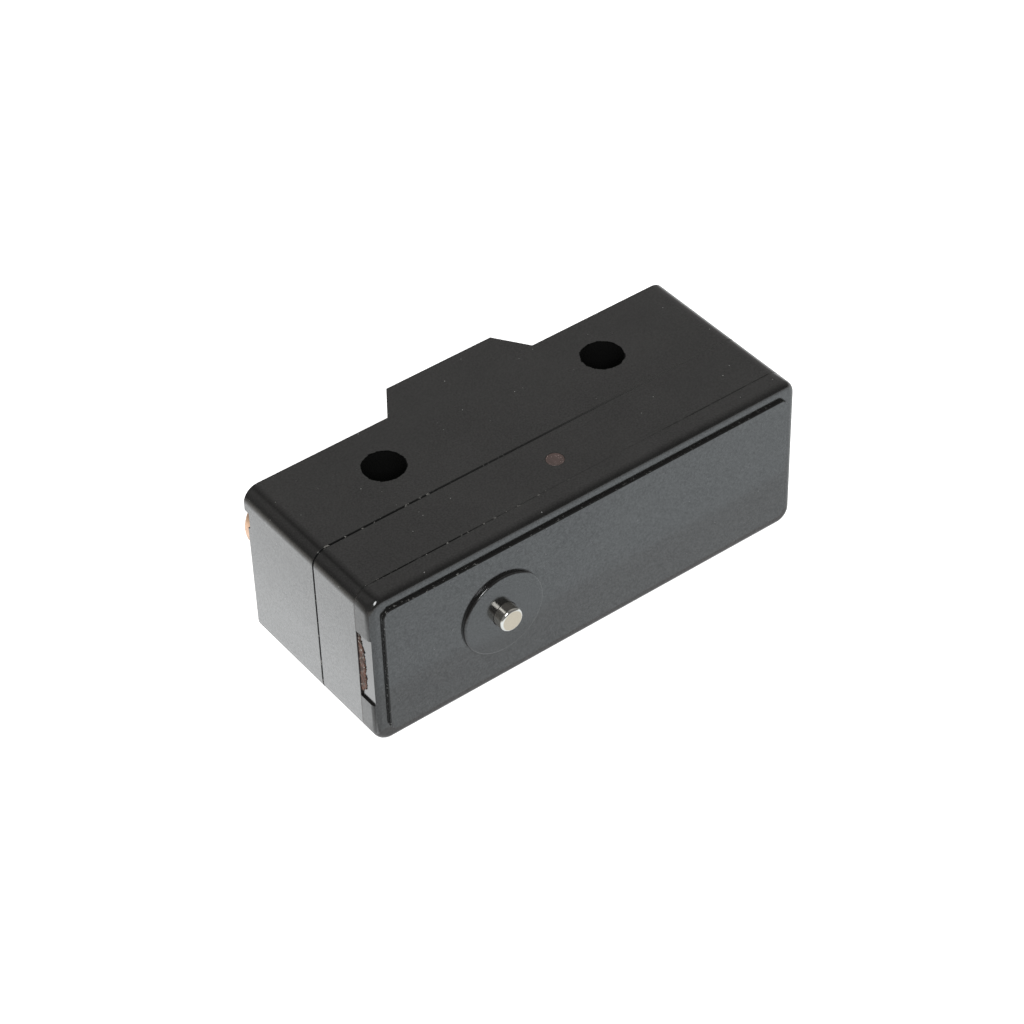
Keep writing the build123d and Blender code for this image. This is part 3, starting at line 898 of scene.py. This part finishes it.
def seenRays(graph):
    # 1 for rays from the camera, in a mirror or through glass, and 1 for rays from the camera alone
    path = graph.nodes.new("ShaderNodeLightPath")
    seen = calc(graph, "MAXIMUM", path.outputs["Is Camera Ray"], path.outputs["Is Glossy Ray"])
    seen = calc(graph, "MAXIMUM", seen, path.outputs["Is Transmission Ray"])
    return seen, path.outputs["Is Camera Ray"]


def mixShaders(graph, factor, first, second):
    node = graph.nodes.new("ShaderNodeMixShader")
    for value, socket in zip((factor, first, second), node.inputs):
        graph.links.new(value, socket)
    return node.outputs[0]


bpy.ops.object.select_all(action="DESELECT")
bpy.ops.mesh.primitive_plane_add(size=room["floorSize"], location=(0, 0, 0))
floor = bpy.context.active_object
floor.name = "floor"
floorMaterial, graph, shader = newMaterial("floorWhite")
shader.inputs["Base Color"].default_value = (room["floorPale"],) * 3 + (1,)
shader.inputs["Roughness"].default_value = room["floorRough"]
# the light on the sheet falls off to the left, which is what the rounded end edge mirrors
x = axes(graph, objectPoints(graph))[0]
leftwards = calc(graph, "MAXIMUM", product(graph, x, -1.0), room["leftEnd"])
warmth = remap(graph, x, room["warmTo"], room["warmFrom"], 1, 0)
white = graph.nodes.new("ShaderNodeEmission")
graph.links.new(calc(graph, "DIVIDE", room["leftEnd"], leftwards), white.inputs["Strength"])
graph.links.new(mixColor(graph, warmth, (1.0, 1.0, 1.0), room["warm"]), white.inputs["Color"])
# the camera sees the sheet with its shadow, lifted by a faint glow
faint = graph.nodes.new("ShaderNodeEmission")
faint.inputs["Strength"].default_value = room["floorGlow"]
shadowed = graph.nodes.new("ShaderNodeAddShader")
graph.links.new(shader.outputs[0], shadowed.inputs[0])
graph.links.new(faint.outputs[0], shadowed.inputs[1])
anyRay, cameraRay = seenRays(graph)
mirrored = mixShaders(graph, anyRay, shader.outputs[0], white.outputs[0])
seen = mixShaders(graph, cameraRay, mirrored, shadowed.outputs[0])
graph.links.new(seen, graph.nodes["Material Output"].inputs[0])
floor.data.materials.append(floorMaterial)

world = bpy.data.worlds.new("studio")
bpy.context.scene.world = world
world.use_nodes = True
graph = world.node_tree
sky = graph.nodes["Background"]
around = graph.nodes.new("ShaderNodeTexCoord").outputs["Generated"]
facing = graph.nodes.new("ShaderNodeVectorMath")
facing.operation = "DOT_PRODUCT"
facing.inputs[1].default_value = room["skyTowards"]
graph.links.new(around, facing.inputs[0])
glow = remap(graph, facing.outputs["Value"], room["skyFrom"], room["skyTo"], room["skyLow"], room["skyHigh"])
across = graph.nodes.new("ShaderNodeValToRGB")
graph.links.new(remap(graph, axes(graph, around)[0], -1, 1), across.inputs[0])
stops = across.color_ramp.elements
for place, share in room["skyAcross"][1:-1]:
    stops.new((place + 1) / 2).color = (share / room["skyMost"],) * 3 + (1,)
for stop, (place, share) in ((stops[0], room["skyAcross"][0]), (stops[-1], room["skyAcross"][-1])):
    stop.color = (share / room["skyMost"],) * 3 + (1,)
glow = product(graph, glow, across.outputs[0], room["skyMost"])
anyRay, cameraRay = seenRays(graph)
level = mixValue(graph, anyRay, room["skyFill"], glow)
graph.links.new(mixValue(graph, cameraRay, level, 1.0), sky.inputs["Strength"])
sky.inputs["Color"].default_value = (*room["skyTint"], 1)


def areaLamp(name, place, turn, size, radiance, color):
    bpy.ops.object.light_add(type="AREA", location=place, rotation=turn)
    lamp = bpy.context.active_object
    lamp.name = name
    lamp.data.shape = "RECTANGLE"
    lamp.data.size, lamp.data.size_y = size
    lamp.data.energy = radiance * math.pi * size[0] * size[1]
    lamp.data.color = color
    lamp.visible_camera = False


window = {
    "target": Vector((-12, -12, 10)) * mm,
    "towards": Vector((-0.364, -0.652, 0.663)).normalized(),
    "distance": 620 * mm,
    "size": (180 * mm, 280 * mm),
    "radiance": 15,
    "color": (0.97, 0.985, 1),
}
place = window["target"] + window["towards"] * window["distance"]
turn = window["towards"].to_track_quat("Z", "Y").to_euler()
areaLamp("windowLamp", place, turn, window["size"], window["radiance"], window["color"])

# pale cards that lie on the floor in millimetres, which the left end and the front panel mirror
cards = {
    "endCard": {"x": (-41, -24.8), "y": (-15, 28), "radiance": 1.22, "color": (0.965, 0.992, 1.0)},
    "endCardNear": {"x": (-31, -24.9), "y": (-12, 20), "radiance": 0.16, "color": (0.965, 0.992, 1.0)},
    "endCardLow": {"x": (-28.5, -24.9), "y": (-12, 20), "radiance": 0.18, "color": (0.965, 0.992, 1.0)},
    "endCardFar": {"x": (-54, -41), "y": (-15, 34), "radiance": 0.5, "color": (1.0, 0.985, 0.955)},
    "frontCard": {"x": (-41, 90), "y": (-95, -20), "radiance": 0.50, "color": (0.73, 0.905, 1.0)},
    "frontCardNear": {"x": (-41, 44), "y": (-20, -15.2), "radiance": 0.28, "color": (0.73, 0.905, 1.0)},
}
cardPile = {"lowest": 0.3, "step": 0.05}  # how high the first lies, and each next one above it
for index, (name, card) in enumerate(cards.items()):
    (left, right), (front, back) = card["x"], card["y"]
    height = cardPile["lowest"] + cardPile["step"] * index
    place = Vector(((left + right) / 2, (front + back) / 2, height)) * mm
    size = ((right - left) * mm, (back - front) * mm)
    areaLamp(name, place, (math.pi, 0, 0), size, card["radiance"], card["color"])
print("floor, world and lamps ready")


# camera at the photograph's viewing angle

photoView = {
    "azimuth": -36.074,
    "elevation": 41.815,
    "roll": -1.894,
    "distance": 291.298 * mm,
    "target": Vector((-1.686, -4.4435, 8.725)) * mm,
    "lens": 109.444,
    "sensor": 36,
    "nearest": 10 * mm,
}
turns = ((photoView["azimuth"], "Z"), (90 - photoView["elevation"], "X"), (photoView["roll"], "Z"))
turn = Matrix.Identity(3)
for degrees, axis in turns:
    turn = turn @ Matrix.Rotation(math.radians(degrees), 3, axis)
eye = photoView["target"] + turn @ Vector((0, 0, photoView["distance"]))
bpy.ops.object.camera_add(location=eye, rotation=turn.to_euler())
camera = bpy.context.active_object
camera.data.lens = photoView["lens"]
camera.data.sensor_width = photoView["sensor"]
camera.data.clip_start = photoView["nearest"]
bpy.context.scene.camera = camera
bpy.context.scene.view_settings.view_transform = "Standard"
print("camera placed")
